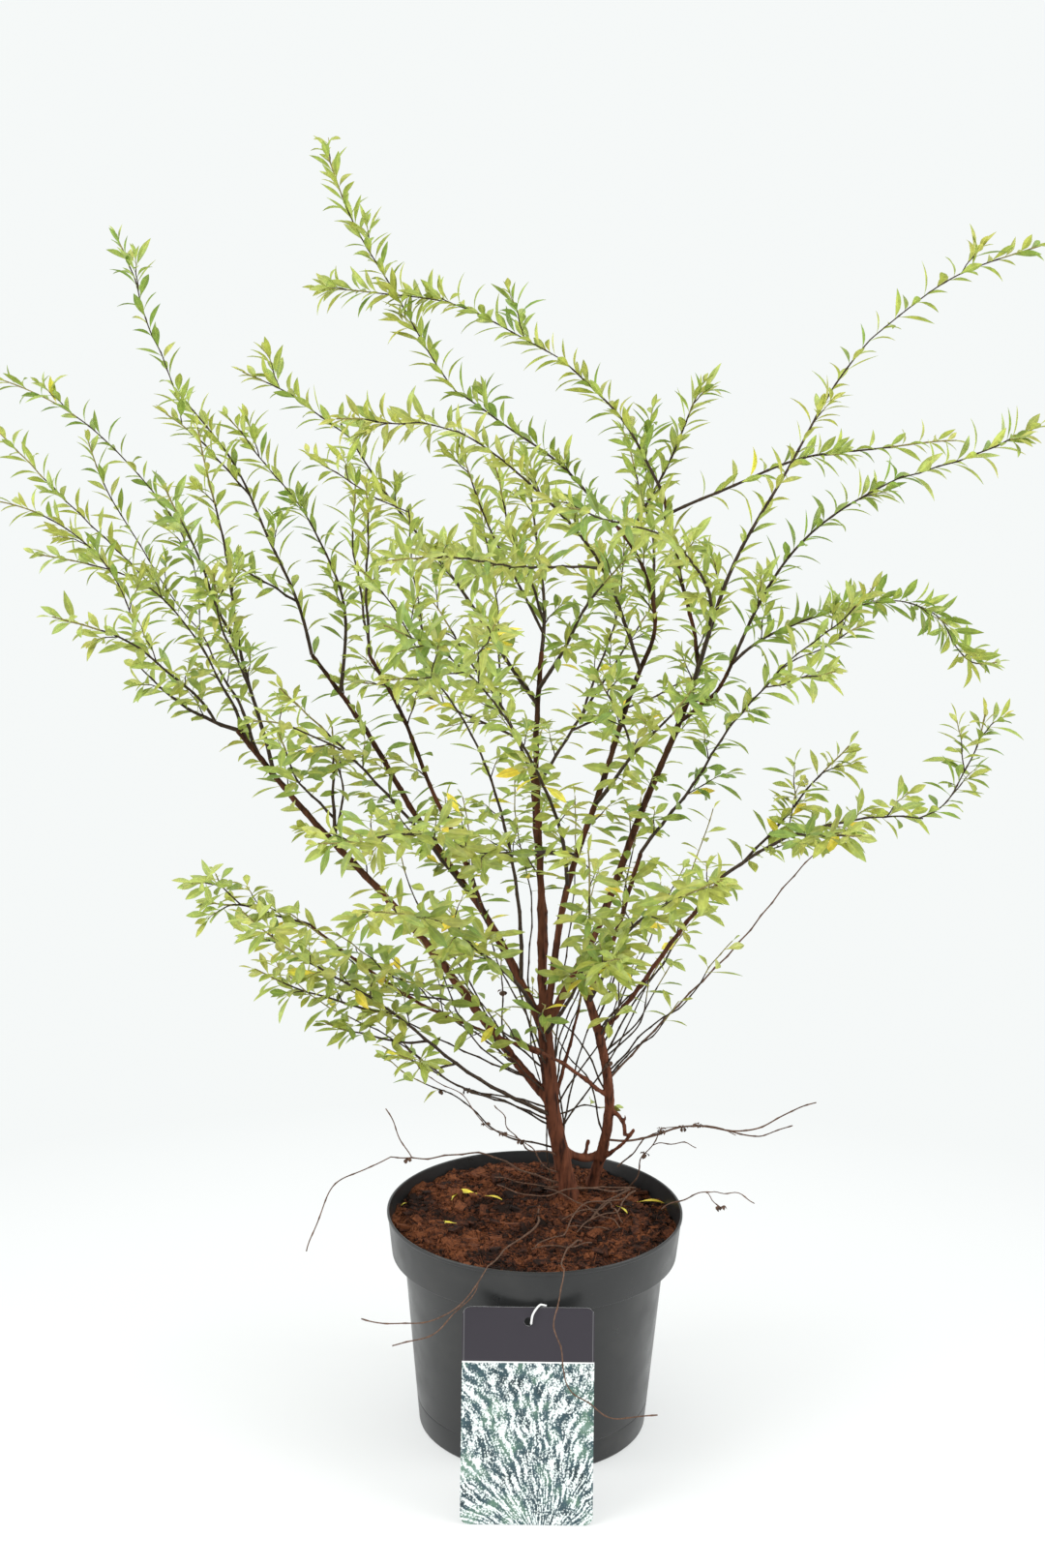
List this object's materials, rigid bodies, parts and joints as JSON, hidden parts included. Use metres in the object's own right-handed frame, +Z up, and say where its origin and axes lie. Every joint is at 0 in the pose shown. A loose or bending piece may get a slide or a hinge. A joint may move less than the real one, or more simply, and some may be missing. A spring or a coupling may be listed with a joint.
{
  "type": "potted spirea shrub",
  "caption": "Young spirea shrub with thin arching leafy shoots on bare boughs, in a round black nursery pot with a picture label leaning on its front.",
  "frame": {"origin": "centre of the pot's flat underside, on the surface that the pot stands on", "axes": "+Z up; +X to the right and -Y towards the viewer who faces the label"},
  "size_m": [0.6735, 0.45, 0.7979],
  "materials": {
    "pot_plastic": "moulded matt black plastic, lightly dusty",
    "soil": "crumbly reddish-brown bark compost",
    "label_card": "printed semi-gloss plastic card",
    "label_tie": "smooth white plastic",
    "bark": "thin peeling reddish-brown bark with buds",
    "dry_wood": "dry dead twig",
    "foliage": "fresh matt yellow-green leaves"
  },
  "bodies": {
    "root": {"pot": "pot_plastic", "soil": "soil", "label_card": "label_card", "label_tie": "label_tie", "trunk": "bark", "stem_right": "bark", "bough_left": "bark", "bough_left_middle": "bark", "bough_left_inner": "bark", "bough_centre": "bark", "bough_right_inner": "bark", "bough_right": "bark", "bough_right_outer": "bark", "bough_low_right": "bark", "bough_low_left": "bark", "bough_top": "bark", "bough_arch": "bark", "bough_right_middle": "bark", "bough_back": "bark", "bare_left": "dry_wood", "bare_right": "dry_wood", "bare_upright": "dry_wood", "bare_front": "dry_wood", "bare_front_left": "dry_wood", "left_low": "foliage", "left_middle": "foliage", "left_high": "foliage", "left_upright": "foliage", "left_under": "foliage", "left_reach": "foliage", "left_cluster": "foliage", "left_inside": "foliage", "left_inner": "foliage", "centre_left": "foliage", "centre_left_high": "foliage", "centre": "foliage", "centre_right": "foliage", "front_left": "foliage", "right_upright": "foliage", "top": "foliage", "right_crest": "foliage", "front_top": "foliage", "arch": "foliage", "right_arm": "foliage", "right_high": "foliage", "front_right": "foliage", "right_reach": "foliage", "right_droop": "foliage", "right_outer": "foliage", "right_under": "foliage", "low_right": "foliage", "low_right_front": "foliage", "low_centre": "foliage", "low_left": "foliage", "low_left_front": "foliage", "front_low": "foliage", "front_low_left": "foliage", "back_left": "foliage", "back_right": "foliage"}
  },
  "joints": []
}
